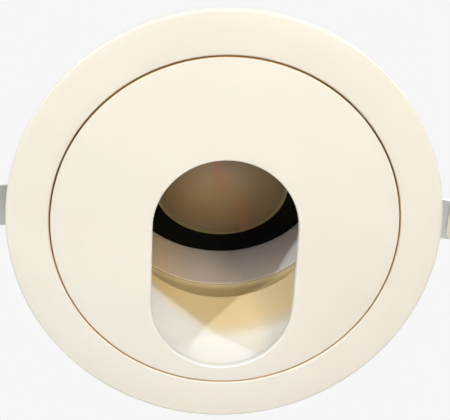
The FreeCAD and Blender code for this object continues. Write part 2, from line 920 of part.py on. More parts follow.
def heat_sink():
    """Round base, hollow core and radial fins that narrow towards the back."""
    body = turned([
        (sink_bore, sink_height),
        (cup_radius, sink_height),
        (cup_radius, sink_base_top),
        (sink_back_radius, sink_back_height, sink_edge_round),
        (sink_bore, sink_back_height),
    ])
    hole = bar(sink_screw_radius + thread_gap, sink_height - overrun,
               cup_base_height + sink_screw_length + seat_gap)
    holes = circle_of(hole, sink_screw_reach, sink_screw_count, 0)
    return body.cut(circle_of(fin_gap(), 0, fin_count, 0) + holes)


def fin_gap():
    """Space between two fins, on the X side."""
    turn = pi / fin_count
    outline = []
    for side, radius in ((1, sink_core_radius), (1, trim_radius), (-1, trim_radius), (-1, sink_core_radius)):
        x = radius * cos(turn) + fin_thickness / 2 * sin(turn)
        y = radius * sin(turn) - fin_thickness / 2 * cos(turn)
        outline.append((x, side * y))
    return flat_plate(outline, sink_base_top, sink_back_height + overrun)


def cable_gland():
    """Gland body: shank in the heat sink's core, hexagon, and thread for the cap."""
    shank = sink_bore - thread_gap
    low = sink_back_height - gland_shank_length
    body = bar(shank, low, sink_back_height + overrun)
    thread = bar(gland_thread_radius, gland_hex_top - overrun, gland_hex_top + gland_thread_length)
    body = body.fuse([hexagon(gland_hex_width, sink_back_height, gland_hex_top), thread])
    return body.cut(bar(gland_bore, low - overrun, gland_cap_top)).removeSplitter()


def gland_cap():
    """Domed cap with grip notches."""
    cap = turned([
        (gland_thread_radius + thread_gap, gland_cap_low),
        (gland_cap_radius, gland_cap_low),
        (gland_cap_radius, gland_cap_top, gland_cap_round),
        (gland_bore + thread_gap, gland_cap_top),
        (gland_bore + thread_gap, gland_cap_top - gland_cap_end),
        (gland_thread_radius + thread_gap, gland_cap_top - gland_cap_end),
    ])
    notch = bar(gland_notch_radius, gland_cap_low - overrun, gland_cap_top + overrun)
    return cap.cut(circle_of(notch, gland_cap_radius + gland_notch_radius / 2, gland_cap_notches, 0))


def gland_seal():
    """Rubber seal in the gland, its lip standing out of the cap."""
    low = gland_hex_top - gland_hex_height / 2
    return turned([
        (gland_seal_bore, low),
        (gland_bore - thread_gap, low),
        (gland_bore - thread_gap, gland_cap_top + gland_seal_lip, gland_seal_lip),
        (gland_seal_bore, gland_cap_top + gland_seal_lip, gland_seal_lip),
    ])


# Spring clips, drawn level with the hinge axis at zero, then set on the ears

def hung(shape):
    """Copy of a right clip's piece, turned down to its rest angle and set on the hinge axis."""
    copy = shape.copy()
    copy.rotate(centre, axis_y, clip_rest_angle)
    return moved(copy, clip_pivot_reach, 0, clip_pivot_height)


def clip_arm():
    """Folded strip: a web along the bottom and a cheek with an eye on each side."""
    web = flat_plate([
        (clip_web_start, -clip_half_width),
        (clip_length, -clip_half_width, clip_tip_round),
        (clip_length, clip_half_width, clip_tip_round),
        (clip_web_start, clip_half_width),
    ], -clip_drop, web_top)
    cheek_outline = [
        (-clip_eye_radius, clip_eye_radius, clip_eye_round),
        (clip_eye_radius, clip_eye_radius, clip_eye_round),
        (clip_cheek_length, web_top + clip_cheek_end),
        (clip_cheek_length, -clip_drop),
        (clip_web_start, -clip_drop),
        (-clip_eye_radius, -clip_eye_radius, clip_eye_round),
    ]
    cheeks = [side_plate(cheek_outline, cheek_inner, clip_half_width),
              side_plate(cheek_outline, -clip_half_width, -cheek_inner)]
    catch = block(clip_catch_reach, clip_catch_reach + clip_catch_thickness,
                  spring_half_width - clip_catch_width / 2, spring_half_width + clip_catch_width / 2,
                  web_top - thread_gap, web_top + clip_catch_height)
    bore = Part.makeCylinder(clip_pin_radius + running_gap, clip_width + overrun * 2,
                             axis_y * (-clip_half_width - overrun), axis_y)
    return hung(web.fuse(cheeks + [catch]).cut(bore).removeSplitter())


def clip_pad():
    """Rubber pad under the tip of the arm, grooved across."""
    tip = clip_length - pad_tip_gap
    low = -clip_drop - pad_depth
    pad = flat_plate([
        (tip - pad_length, -pad_width / 2, pad_round),
        (tip, -pad_width / 2, pad_round),
        (tip, pad_width / 2, pad_round),
        (tip - pad_length, pad_width / 2, pad_round),
    ], low, -clip_drop)
    step = pad_length / (pad_groove_count + 1)
    grooves = [block(tip - step * (i + 1) - pad_groove_width / 2, tip - step * (i + 1) + pad_groove_width / 2,
                     -pad_width, pad_width, low - overrun, low + pad_groove_depth)
               for i in range(pad_groove_count)]
    return hung(pad.cut(grooves))


def arc_through(start, corner, end):
    """Three points of the arc that touches both sides of a corner."""
    foot = (start + end) / 2
    half_angle = (corner - start).getAngle(end - start)
    return start, foot + (corner - foot) * tan(half_angle / 2) / tan(half_angle), end


def arc_pair(start, start_way, end, end_way):
    """Two arcs in space that join two points smoothly."""
    chord = end - start
    a = 2 - 2 * start_way.dot(end_way)
    b = chord.dot(start_way + end_way)
    reach = (sqrt(b * b + a * chord.dot(chord)) - b) / a
    first_corner = start + start_way * reach
    second_corner = end - end_way * reach
    joint = (first_corner + second_corner) / 2
    return [arc_through(start, first_corner, joint), arc_through(joint, second_corner, end)]


def spring_path():
    """Centre line of the torsion spring at rest, each piece by two points of a line or three of an arc."""
    count = coil_turns * coil_sectors
    step = radians(coil_turns * full_turn - clip_rest_angle) / count
    lead = 2 * spring_half_width / (count - 1)
    stations = []
    for i in range(count + 1):
        angle = i * step - pi / 2
        place = min(max(i - coil_end_share, 0), count - 1) * lead - spring_half_width
        slope = 0 if i in (0, count) else lead / step
        stations.append((
            Vector(coil_radius * cos(angle), place, coil_radius * sin(angle)),
            Vector(-coil_radius * sin(angle), slope, coil_radius * cos(angle)).normalize(),
        ))
    first, last, last_way = stations[0][0], stations[-1][0], stations[-1][1]
    corner = first - axis_x * spring_heel_reach
    heel = Vector(corner.x, corner.y, ear_floor_top + seat_gap - clip_pivot_height)
    bend_start = corner - axis_z * spring_heel_bend
    bend_end = corner + axis_x * spring_heel_bend
    path = [(heel, bend_start), arc_through(bend_start, corner, bend_end), (bend_end, first)]
    for (start, start_way), (end, end_way) in zip(stations, stations[1:]):
        path += arc_pair(start, start_way, end, end_way)
    return path + [(last, last + last_way * (clip_catch_reach - seat_gap))]


def spring_line():
    """Centre line of the torsion spring as one wire."""
    curves = [Part.Arc(*p) if len(p) > 2 else Part.LineSegment(*p) for p in spring_path()]
    return Part.Wire([curve.toShape() for curve in curves])


def clip_spring():
    """Torsion spring round the hinge pin: heel on the floor between the ears, toe on the arm."""
    line = spring_line()
    section = Part.Wire(Part.Circle(line.OrderedVertexes[0].Point, axis_z, wire_radius).toShape())
    sweep = Part.BRepOffsetAPI.MakePipeShell(line)
    sweep.add(section)
    sweep.build()
    sweep.makeSolid()
    return moved(sweep.shape(), clip_pivot_reach, 0, clip_pivot_height)


def spring_self_gap():
    """Least gap between turns of one spring, measured on points of its centre line."""
    line = spring_line()
    points = line.discretize(Number=spring_samples)
    near = int(pi * coil_radius / line.Length * spring_samples)
    return min((p - q).Length for i, p in enumerate(points) for q in points[i + near:]) - 2 * wire_radius


def nodes():
    """Every node's name and its solid, or list of solids."""
    pin = clip_pin()
    arm = clip_arm()
    pad = clip_pad()
    spring = clip_spring()
    yoke = yoke_arm()
    screw = pivot_screw()
    still = {
        "trim_ring": trim_ring(),
        "glide_ring": glide_ring(),
        "stop_pin": stop_pin(),
        "face_disc": face_disc(),
        "cone_baffle": cone_baffle(),
        "turntable_ring": turntable_ring(),
        "turntable_screws": turntable_screws(),
        "yoke_arm_right": yoke,
        "yoke_arm_left": spun(yoke, half_turn),
        "yoke_screws": yoke_screws(),
        "clip_pin_right": pin,
        "clip_pin_left": spun(pin, half_turn),
        "clip_arm_right": arm,
        "clip_arm_left": spun(arm, half_turn),
        "clip_pad_right": pad,
        "clip_pad_left": spun(pad, half_turn),
        "clip_spring_right": spring,
        "clip_spring_left": spun(spring, half_turn),
    }
    head = {
        "pivot_screw_right": screw,
        "pivot_screw_left": spun(screw, half_turn),
        "friction_washers": friction_washers(),
        "spring_washers": spring_washers(),
        "polished_tube": polished_tube(),
        "lamp_cup": lamp_cup(),
        "front_bezel": front_bezel(),
        "lens": lens(),
        "reflector_bowl": reflector_bowl(),
        "led_board": led_board(),
        "led_chip": led_chip(),
        "led_holder": led_holder(),
        "led_screws": led_screws(),
        "thermal_pad": thermal_pad(),
        "heat_sink": heat_sink(),
        "heat_sink_screws": heat_sink_screws(),
        "cable_gland": cable_gland(),
        "gland_cap": gland_cap(),
        "gland_seal": gland_seal(),
    }
    for name, shape in head.items():
        still[name] = [tilted(s) for s in shape] if isinstance(shape, list) else tilted(shape)
    return still


os.makedirs("parts", exist_ok=True)
for name, shape in nodes().items():
    if isinstance(shape, list):
        shape = Part.makeCompound(shape)
    if not shape.isValid() or not shape.Solids:
        raise RuntimeError("bad shape: " + name)
    shape.exportStep("parts/" + name + ".step")
    print(name, len(shape.Solids), round(shape.Volume, 1))
print("least gap of a spring to itself, mm", round(spring_self_gap(), 2))
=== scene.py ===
import json
from math import cos, hypot, pi, radians, sin, sqrt, tan

import bmesh
import bpy
from mathutils import Matrix, Vector

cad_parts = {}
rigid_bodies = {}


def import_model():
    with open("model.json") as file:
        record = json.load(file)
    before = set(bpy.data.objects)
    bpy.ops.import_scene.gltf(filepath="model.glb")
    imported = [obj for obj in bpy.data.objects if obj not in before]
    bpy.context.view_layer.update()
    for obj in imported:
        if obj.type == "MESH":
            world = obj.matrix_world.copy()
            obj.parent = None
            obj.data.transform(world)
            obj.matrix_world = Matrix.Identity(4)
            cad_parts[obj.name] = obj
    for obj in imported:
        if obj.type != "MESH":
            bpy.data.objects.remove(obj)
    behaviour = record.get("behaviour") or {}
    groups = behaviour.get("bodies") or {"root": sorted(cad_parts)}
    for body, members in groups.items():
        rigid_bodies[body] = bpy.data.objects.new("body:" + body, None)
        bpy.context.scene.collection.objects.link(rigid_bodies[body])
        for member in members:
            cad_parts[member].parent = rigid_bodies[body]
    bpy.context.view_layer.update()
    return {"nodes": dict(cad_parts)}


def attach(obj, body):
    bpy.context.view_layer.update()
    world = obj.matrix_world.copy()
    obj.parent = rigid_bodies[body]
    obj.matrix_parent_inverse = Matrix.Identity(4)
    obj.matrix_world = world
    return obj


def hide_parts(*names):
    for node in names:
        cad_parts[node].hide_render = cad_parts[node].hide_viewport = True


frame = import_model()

# Outlines are in millimetres until a mesh is finished; materials, lamps and camera are in metres
MM = 0.001

# Sizes that several pieces share
FRONT = -2.0            # front of the flange and of the face disc
PIVOT = 32.0            # height of the lamp's tilt axis
REST_TILT = 25          # tilt of the lamp at rest, in degrees
TUBE_OUT = 28.2         # outside of the polished tube and of the lamp cup behind it
TUBE_FRONT = -14.0      # front end of the tube, in the head's own frame
ROUND = 256             # sides of the large round pieces
HEAD = Matrix.Translation((0, 0, PIVOT * MM)) @ Matrix.Rotation(radians(REST_TILT), 4, "X")


# Mesh helpers

def rounded(corners, steps=5):
    """Points of a closed outline whose corners are (a, b) or (a, b, radius)."""
    points = []
    flat = [Vector((c[0], c[1])) for c in corners]
    for i, corner in enumerate(corners):
        here = flat[i]
        if len(corner) == 2:
            points.append(here)
            continue
        back = (flat[i - 1] - here).normalized()
        ahead = (flat[(i + 1) % len(flat)] - here).normalized()
        half = back.angle(ahead) / 2
        centre = here + (back + ahead).normalized() * (corner[2] / sin(half))
        start = here + back * (corner[2] / tan(half)) - centre
        turn = pi - 2 * half
        if back.x * ahead.y - back.y * ahead.x > 0:
            turn = -turn
        for k in range(steps + 1):
            a = turn * k / steps
            offset = Vector((start.x * cos(a) - start.y * sin(a), start.x * sin(a) + start.y * cos(a)))
            points.append(centre + offset)
    return points


def mesh_of(bm, name):
    """Named mesh of a finished bmesh, its faces turned outwards."""
    bmesh.ops.recalc_face_normals(bm, faces=bm.faces)
    mesh = bpy.data.meshes.new(name)
    bm.to_mesh(mesh)
    bm.free()
    return mesh


def finished(name, mesh, angle=32):
    """Object of a mesh in millimetres, scaled to metres and shaded smooth up to an angle."""
    mesh.transform(Matrix.Scale(MM, 4))
    mesh.polygons.foreach_set("use_smooth", [True] * len(mesh.polygons))
    mesh.set_sharp_from_angle(angle=radians(angle))
    obj = bpy.data.objects.new(name, mesh)
    bpy.context.scene.collection.objects.link(obj)
    return obj


def lathe_mesh(name, corners, segments=ROUND, steps=5):
    """Closed surface turned about Z from an outline of (radius, height) corners."""
    points = rounded(corners, steps)
    bm = bmesh.new()
    rings = []
    for i in range(segments):
        a = 2 * pi * i / segments
        rings.append([bm.verts.new((p.x * cos(a), p.x * sin(a), p.y)) for p in points])
    for i, near in enumerate(rings):
        far = rings[(i + 1) % segments]
        for j in range(len(points)):
            k = (j + 1) % len(points)
            if points[j].x < 1e-6 and points[k].x < 1e-6:
                continue
            bm.faces.new((near[j], far[j], far[k], near[k]))
    bmesh.ops.remove_doubles(bm, verts=bm.verts, dist=1e-5)
    bmesh.ops.dissolve_degenerate(bm, edges=bm.edges, dist=1e-6)
    return mesh_of(bm, name)


def lathe(name, corners, segments=ROUND, steps=5):
    """Finished object of a turned surface."""
    return finished(name, lathe_mesh(name, corners, segments, steps))


def prism_mesh(name, corners, low, high, plane="xz", steps=6):
    """Plate between two places, from an outline in the plane xz or yz."""
    points = rounded(corners, steps)
    bm = bmesh.new()

    def place(p, level):
        if plane == "xz":
            return (p.x, level, p.y)
        return (level, p.x, p.y)
    sides = [[bm.verts.new(place(p, level)) for p in points] for level in (low, high)]
    bm.faces.new(sides[0])
    bm.faces.new(sides[1])
    for j in range(len(points)):
        k = (j + 1) % len(points)
        bm.faces.new((sides[0][j], sides[0][k], sides[1][k], sides[1][j]))
    return mesh_of(bm, name)


def loft_mesh(name, loops):
    """Closed surface through loops of equally many points, its ends capped."""
    bm = bmesh.new()
    rows = [[bm.verts.new(p) for p in loop] for loop in loops]
    bm.faces.new(rows[0])
    bm.faces.new(rows[-1])
    for near, far in zip(rows, rows[1:]):
        for j in range(len(near)):
            k = (j + 1) % len(near)
            bm.faces.new((near[j], near[k], far[k], far[j]))
    return mesh_of(bm, name)


def combined(name, base, others, operation):
    """Mesh of a base with other meshes cut away or joined on, all in millimetres."""
    scene = bpy.context.scene.collection.objects
    body = bpy.data.objects.new(name, base)
    scene.link(body)
    tools = []
    for other in others:
        tool = bpy.data.objects.new("tool", other)
        scene.link(tool)
        tools.append(tool)
        step = body.modifiers.new("step", "BOOLEAN")
        step.operation = operation
        step.solver = "EXACT"
        step.object = tool
    bpy.context.view_layer.update()
    mesh = bpy.data.meshes.new_from_object(body.evaluated_get(bpy.context.evaluated_depsgraph_get()))
    mesh.name = name
    for made in [body] + tools:
        bpy.data.objects.remove(made)
    return mesh


def softened(obj, width=0.15, segments=2):
    """Small rounding of an object's sharp edges, in millimetres."""
    bevel = obj.modifiers.new("edge", "BEVEL")
    bevel.width = width * MM
    bevel.segments = segments
    bevel.limit_method = "ANGLE"
    bevel.angle_limit = radians(40)
    return obj


# Node helpers

def new_material(name):
    """Material with nodes, its node tree and its shader."""
    mat = bpy.data.materials.new(name)
    mat.use_nodes = True
    tree = mat.node_tree
    return mat, tree, tree.nodes["Principled BSDF"]


def linear(r, g, b):
    """Linear colour of an sRGB one written from 0 to 255."""
    def one(v):
        v /= 255
        return v / 12.92 if v <= 0.04045 else ((v + 0.055) / 1.055) ** 2.4
    return (one(r), one(g), one(b), 1)


def own_place(tree):
    """Outputs X, Y and Z of a point in the object's own coordinates, in metres."""
    place = tree.nodes.new("ShaderNodeTexCoord")
    parts = tree.nodes.new("ShaderNodeSeparateXYZ")
    tree.links.new(place.outputs["Object"], parts.inputs["Vector"])
    return parts.outputs


def noise(tree, scale, detail=3, stretch=(1, 1, 1), rough=0.55):
    """Noise in the object's own coordinates, its scale per metre."""
    place = tree.nodes.new("ShaderNodeTexCoord")
    mapping = tree.nodes.new("ShaderNodeMapping")
    mapping.inputs["Scale"].default_value = stretch
    tex = tree.nodes.new("ShaderNodeTexNoise")
    tex.inputs["Scale"].default_value = scale
    tex.inputs["Detail"].default_value = detail
    tex.inputs["Roughness"].default_value = rough
    tree.links.new(place.outputs["Object"], mapping.inputs["Vector"])
    tree.links.new(mapping.outputs["Vector"], tex.inputs["Vector"])
    return tex.outputs["Fac"]


def ranged(tree, value, low, high, to_low, to_high):
    """Value moved from one range to another, and held within it."""
    node = tree.nodes.new("ShaderNodeMapRange")
    node.inputs["From Min"].default_value = low
    node.inputs["From Max"].default_value = high
    node.inputs["To Min"].default_value = to_low
    node.inputs["To Max"].default_value = to_high
    tree.links.new(value, node.inputs["Value"])
    return node.outputs["Result"]


def mixed(tree, factor, a, b):
    """Colour between a, at factor 0, and b, at 1; each is a colour or a socket."""
    node = tree.nodes.new("ShaderNodeMix")
    node.data_type = "RGBA"
    tree.links.new(factor, node.inputs["Factor"])
    for key, colour in (("A", a), ("B", b)):
        socket = [s for s in node.inputs if s.name == key and s.type == "RGBA"][0]
        if isinstance(colour, bpy.types.NodeSocket):
            tree.links.new(colour, socket)
        else:
            socket.default_value = colour
    return [s for s in node.outputs if s.type == "RGBA"][0]


def math_node(tree, operation, first, second=None):
    """Value of one or two sockets or numbers under a math operation."""
    node = tree.nodes.new("ShaderNodeMath")
    node.operation = operation
    for socket, value in zip(node.inputs, (first, second)):
        if isinstance(value, bpy.types.NodeSocket):
            tree.links.new(value, socket)
        elif value is not None:
            socket.default_value = value
    return node.outputs[0]


def bumped(tree, shader, height, strength, distance):
    """Fine relief of the shader's surface, its depth in metres."""
    node = tree.nodes.new("ShaderNodeBump")
    node.inputs["Strength"].default_value = strength
    node.inputs["Distance"].default_value = distance
    tree.links.new(height, node.inputs["Height"])
    tree.links.new(node.outputs["Normal"], shader.inputs["Normal"])


# A noise stays mostly between these two values
NOISE_LOW, NOISE_HIGH = 0.3, 0.7


def drift(tree, scale, detail=4, low=NOISE_LOW, high=NOISE_HIGH):
    """Slow change from 0 to 1 over a surface."""
    return ranged(tree, noise(tree, scale, detail), low, high, 0, 1)


def uneven_gloss(tree, shader, scale, detail, low, high):
    """Roughness that wanders between two values."""
    wander = ranged(tree, noise(tree, scale, detail), NOISE_LOW, NOISE_HIGH, low, high)
    tree.links.new(wander, shader.inputs["Roughness"])


def powder_coat(name, light, dark, rough=0.42, grain=0.25):
    """Satin powder coat: faint orange peel and slow drift of tone."""
    mat, tree, shader = new_material(name)
    tone = drift(tree, 22, low=0.35, high=0.65)
    tree.links.new(mixed(tree, tone, dark, light), shader.inputs["Base Color"])
    uneven_gloss(tree, shader, 160, 3, rough - 0.06, rough + 0.06)
    bumped(tree, shader, noise(tree, 1500, 2), grain, 0.00004)
    return mat


def worked_metal(name, light, dark, rough, stretch=(1, 1, 1), scale=900, depth=0.15):
    """Metal with fine working marks and a slow drift of tone."""
    mat, tree, shader = new_material(name)
    tree.links.new(mixed(tree, drift(tree, 60), dark, light), shader.inputs["Base Color"])
    shader.inputs["Metallic"].default_value = 1
    marks = noise(tree, scale, 4, stretch)
    tree.links.new(ranged(tree, marks, 0.25, 0.75, rough - 0.07, rough + 0.09), shader.inputs["Roughness"])
    bumped(tree, shader, marks, depth, 0.00002)
    return mat


def moulded(name, light, dark, rough=0.5, scale=1300, depth=0.3):
    """Moulded plastic or rubber with an eroded grain."""
    mat, tree, shader = new_material(name)
    tree.links.new(mixed(tree, drift(tree, 90), dark, light), shader.inputs["Base Color"])
    uneven_gloss(tree, shader, 300, 3, rough - 0.08, rough + 0.08)
    bumped(tree, shader, noise(tree, scale, 3), depth, 0.00004)
    return mat


def tube_material():
    """Drawn tube whose colour is a painted reflection: warm where the golden funnel would show on the left,
    greyer in the middle and a pale painted highlight on the right.
    """
    reflection_full, reflection_end = -0.017, -0.006
    highlight_start, highlight_full = 0.003, 0.013
    mat, tree, shader = new_material("tube_painted_reflection")
    across = own_place(tree)["X"]
    middle = mixed(tree, drift(tree, 60), (0.80, 0.75, 0.77, 1), (0.85, 0.80, 0.81, 1))
    # Painted reflection of the golden funnel on the tube's left
    warm = mixed(tree, ranged(tree, across, reflection_full, reflection_end, 1, 0), middle, (1.0, 0.84, 0.68, 1))
    # Painted highlight on the tube's right
    pale = mixed(tree, ranged(tree, across, highlight_start, highlight_full, 0, 1), warm, (0.98, 0.96, 1.0, 1))
    tree.links.new(pale, shader.inputs["Base Color"])
    uneven_gloss(tree, shader, 90, 2, 0.29, 0.35)
    shader.inputs["Metallic"].default_value = 0.1
    return mat


def cone_material():
    """Satin cream coat inside the funnel with painted shade: a slightly darker cream at the mouth, a painted
    golden shade deeper in and the richest golden tone past the throat.

    Heights are in metres. To the left of the middle the golden shade starts deeper, by left_delay of the way
    there, so that its edge follows a lamp's shadow edge.
    """
    gold_shade_start, gold_shade_full = 0.0072, 0.0118
    left_delay = 0.36
    throat_start, throat_full = 0.0187, 0.0194
    mouth_end, upper_start = 0.0018, 0.0068
    mat, tree, shader = new_material("cream_to_painted_gold_shade")
    place = own_place(tree)
    left = math_node(tree, "MULTIPLY", math_node(tree, "MINIMUM", place["X"], 0), left_delay)
    depth = ranged(tree, math_node(tree, "ADD", place["Z"], left), gold_shade_start, gold_shade_full, 0, 1)
    slow = drift(tree, 40)
    upper = mixed(tree, slow, linear(243, 236, 220), linear(247, 241, 228))
    # Painted shade: darker cream at the mouth
    pale = mixed(tree, ranged(tree, place["Z"], mouth_end, upper_start, 0, 1), linear(235, 227, 216), upper)
    # Painted golden shade deeper in
    gold_shade = mixed(tree, slow, linear(255, 226, 174), linear(255, 231, 184))
    throat = ranged(tree, place["Z"], throat_start, throat_full, 0, 1)
    inner = mixed(tree, depth, pale, gold_shade)
    # Past the throat the painted shade is the richest golden tone
    tree.links.new(mixed(tree, throat, inner, linear(255, 229, 158)), shader.inputs["Base Color"])
    uneven_gloss(tree, shader, 160, 3, 0.38, 0.5)
    bumped(tree, shader, noise(tree, 1500, 2), 0.15, 0.00003)
    return mat


def lens_material():
    """Frosted lens painted with the dim brown shade of the unlit inside seen through it, darker outwards,
    with two faint reddish streaks and a painted highlight just inside the bezel.
    """
    lean, waver, streak_share = -0.17, 0.0003, 0.42
    dark_start, dark_full = 0.006, 0.0175
    rim_start, rim_full, rim_highlight_share = 0.0178, 0.0188, 0.8
    mat, tree, shader = new_material("lens_frosted")
    place = own_place(tree)
    along = place["Y"]
    wander = ranged(tree, noise(tree, 160, 2), NOISE_LOW, NOISE_HIGH, -waver, waver)
    shift = math_node(tree, "ADD", math_node(tree, "MULTIPLY", along, lean), wander)
    across = math_node(tree, "ADD", place["X"], shift)

    def streak(centre, half, start, end):
        """Soft band beside the lens's middle line that fades in from start to end."""
        off = math_node(tree, "ABSOLUTE", math_node(tree, "SUBTRACT", across, centre))
        band = ranged(tree, off, half * 0.3, half, 1, 0)
        return math_node(tree, "MULTIPLY", band, ranged(tree, along, start, end, 0, streak_share))
    upper_streak = streak(0, 0.0024, 0.0035, -0.0015)
    lower_streak = streak(0.0053, 0.0022, 0.0015, 0.0045)
    streaks = math_node(tree, "MAXIMUM", upper_streak, lower_streak)
    square = math_node(tree, "ADD", math_node(tree, "MULTIPLY", place["X"], place["X"]),
                       math_node(tree, "MULTIPLY", along, along))
    reach = math_node(tree, "SQRT", square)
    middle = mixed(tree, drift(tree, 40, 3), linear(153, 131, 98), linear(174, 149, 114))
    deep = mixed(tree, ranged(tree, reach, dark_start, dark_full, 0, 1), middle, linear(118, 102, 72))
    streaked = mixed(tree, streaks, deep, linear(192, 118, 86))
    # Painted highlight in a narrow band just inside the bezel
    rim_highlight = ranged(tree, reach, rim_start, rim_full, 0, rim_highlight_share)
    tree.links.new(mixed(tree, rim_highlight, streaked, linear(168, 158, 118)), shader.inputs["Base Color"])
    shader.inputs["Roughness"].default_value = 0.35
    shader.inputs["IOR"].default_value = 1.45
    shader.inputs["Coat Weight"].default_value = 0.3
    shader.inputs["Coat Roughness"].default_value = 0.12
    bumped(tree, shader, noise(tree, 2500, 2), 0.1, 0.00002)
    return mat


# Materials

cream = powder_coat("cream_powder_coat", linear(245, 239, 226), linear(242, 235, 220))
# Painted shade: golden brown on the walls of the seam between trim ring and face disc
seam_painted_shade = powder_coat("seam_shade", linear(236, 198, 130), linear(218, 178, 108), rough=0.6)
# Painted highlight: a whiter coat on the slot's rounded front edge
slot_edge_highlight = powder_coat("slot_edge", linear(255, 254, 250), linear(252, 250, 245))
# Painted shade: dark brown on the outside of the tube's front end, where the gap between tube and funnel
# lies in shadow
tube_rim_painted_shade = powder_coat("rim_shade", linear(62, 50, 30), linear(46, 38, 22), rough=0.6)
black_coat = powder_coat("black_coat", (0.0022, 0.0021, 0.0016, 1), (0.0015, 0.0014, 0.0011, 1),
                         rough=0.6, grain=0.35)
black_coat.node_tree.nodes["Principled BSDF"].inputs["Specular IOR Level"].default_value = 0.07

zinc = worked_metal("zinc_plate", (0.62, 0.62, 0.60, 1), (0.52, 0.52, 0.52, 1), 0.36,
                    stretch=(1, 1, 0.2), depth=0.08)
turned_steel = worked_metal("turned_steel", (0.60, 0.60, 0.59, 1), (0.45, 0.45, 0.45, 1), 0.3)
strip_steel = worked_metal("strip_steel", (0.66, 0.66, 0.65, 1), (0.58, 0.58, 0.58, 1), 0.32,
                           stretch=(0.1, 1, 1), scale=1100, depth=0.035)
wire_steel = worked_metal("spring_wire", (0.56, 0.56, 0.56, 1), (0.42, 0.42, 0.42, 1), 0.28)
tube_back = worked_metal("tube_outside", (0.68, 0.67, 0.66, 1), (0.61, 0.60, 0.59, 1), 0.3,
                         stretch=(1, 1, 0.1), depth=0.05)
bowl_bright = worked_metal("bowl_bright", (0.86, 0.85, 0.82, 1), (0.80, 0.79, 0.76, 1), 0.3)
anodised = worked_metal("black_anodised", (0.045, 0.045, 0.05, 1), (0.03, 0.03, 0.033, 1), 0.45,
                        scale=1200, depth=0.3)

rubber = moulded("black_rubber", (0.022, 0.022, 0.022, 1), (0.015, 0.015, 0.015, 1), 0.7)
sleeve = moulded("pale_sleeve", linear(232, 228, 216), linear(224, 219, 206), 0.6)
nylon_white = moulded("white_nylon", linear(232, 230, 222), linear(224, 221, 212), 0.45)
nylon_black = moulded("black_nylon", (0.022, 0.022, 0.024, 1), (0.015, 0.015, 0.017, 1), 0.48)
pad_grey = moulded("thermal_grey", linear(150, 154, 160), linear(138, 142, 148), 0.75)
board_white = moulded("board_white", linear(238, 238, 234), linear(230, 230, 226), 0.35, 2000, 0.1)
phosphor = moulded("phosphor_yellow", linear(232, 186, 60), linear(220, 170, 44), 0.3, 2500, 0.15)

tube_painted_reflection = tube_material()
cone_inside_painted_shade = cone_material()
lens_glass = lens_material()


def faces_as(obj, mat, chosen):
    """Further material on the faces that a test of their centre and normal, in millimetres, picks out."""
    index = len(obj.data.materials)
    obj.data.materials.append(mat)
    for face in obj.data.polygons:
        if chosen(face.center / MM, face.normal):
            face.material_index = index


def paint(obj, mat):
    """One material all over a new piece or a CAD node."""
    if obj.data.materials:
        for i in range(len(obj.data.materials)):
            obj.data.materials[i] = mat
    else:
        obj.data.materials.append(mat)
    return obj


def piece(obj, mat, body, nodes=(), place=None):
    """Finishes a new piece: its material, its body, and the CAD nodes that it stands for."""
    if mat is not None:
        paint(obj, mat)
    if place is not None:
        obj.matrix_world = place
    bpy.context.view_layer.update()
    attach(obj, body)
    if nodes:
        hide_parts(*nodes)
    return obj


# Trim ring

HOLE = 44.3             # radius of the trim ring's hole, the outside of the seam
LEDGE_LOW, LEDGE_HIGH = 7.0, 8.5
GLIDE_IN, GLIDE_OUT, GLIDE_TOP = 42.65, 44.15, 9.0
UPRIGHT = 0.5           # a wall is upright where its normal's height is less than this


def trim():
    """Flange, collar and inner ledge, turned in one."""
    flange, collar, collar_top, ledge = 55.0, 46.5, 13.5, 42.5
    mesh = lathe_mesh("trim", [
        (ledge, LEDGE_LOW, 0.3), (HOLE, LEDGE_LOW), (HOLE, -1.7, 0.15), (44.65, FRONT, 0.2),
        (flange, FRONT, 0.75), (flange, 0.0, 0.15), (collar, 0.0), (collar, collar_top, 0.3),
        (HOLE, collar_top, 0.3), (HOLE, LEDGE_HIGH), (ledge, LEDGE_HIGH, 0.2),
    ])
    return finished("trim_ring_shell", mesh)


def ear_pair(side):
    """Ears of one clip and the floor between them; side is 1 for right and -1 for left."""
    top, pin_height, floor = 22.28, 19.28, 15.03
    near, pin_reach, pin_hole = 37.9, 40.9, 1.3
    inner, outer = 5.9, 7.4
    wall_top, shoulder = 13.2, 18.5
    reach = sqrt(45.0 ** 2 - outer ** 2)
    outline = [
        (near, floor - 1.0, 0.3), (HOLE, 13.45), (44.6, wall_top), (reach, wall_top), (reach, shoulder),
        (43.9, top, 2.6), (near, top, 2.6),
    ]
    ears = [prism_mesh("ear", outline, low, high) for low, high in ((-outer, -inner), (inner, outer))]
    plate = prism_mesh("floor", [
        (37.92, floor - 1.0), (pin_reach, 13.8), (pin_reach, floor), (37.92, floor),
    ], -5.95, 5.95)
    hole = lathe_mesh("hole", [(0, -9), (pin_hole, -9), (pin_hole, 9), (0, 9)], 48)
    hole.transform(Matrix.Translation((pin_reach, 0, pin_height)) @ Matrix.Rotation(pi / 2, 4, "X"))
    mesh = combined("ears", ears[0], [ears[1], plate], "UNION")
    mesh = combined("ears", mesh, [hole], "DIFFERENCE")
    if side < 0:
        mesh.transform(Matrix.Rotation(pi, 4, "Z"))
    return softened(finished("ears_right" if side > 0 else "ears_left", mesh))


def glide_ring():
    """Plain turned ring on the ledge."""
    return lathe("glide_ring_smooth", [
        (GLIDE_IN, LEDGE_HIGH, 0.1), (GLIDE_OUT, LEDGE_HIGH, 0.1), (GLIDE_OUT, GLIDE_TOP, 0.1),
        (GLIDE_IN, GLIDE_TOP, 0.1),
    ], 192)


def in_ring_seam(at, way):
    """Wall of the trim ring's hole below the ledge."""
    near, far = 44, 44.4
    return abs(way.z) < UPRIGHT and near < hypot(at.x, at.y) < far and at.z < LEDGE_LOW


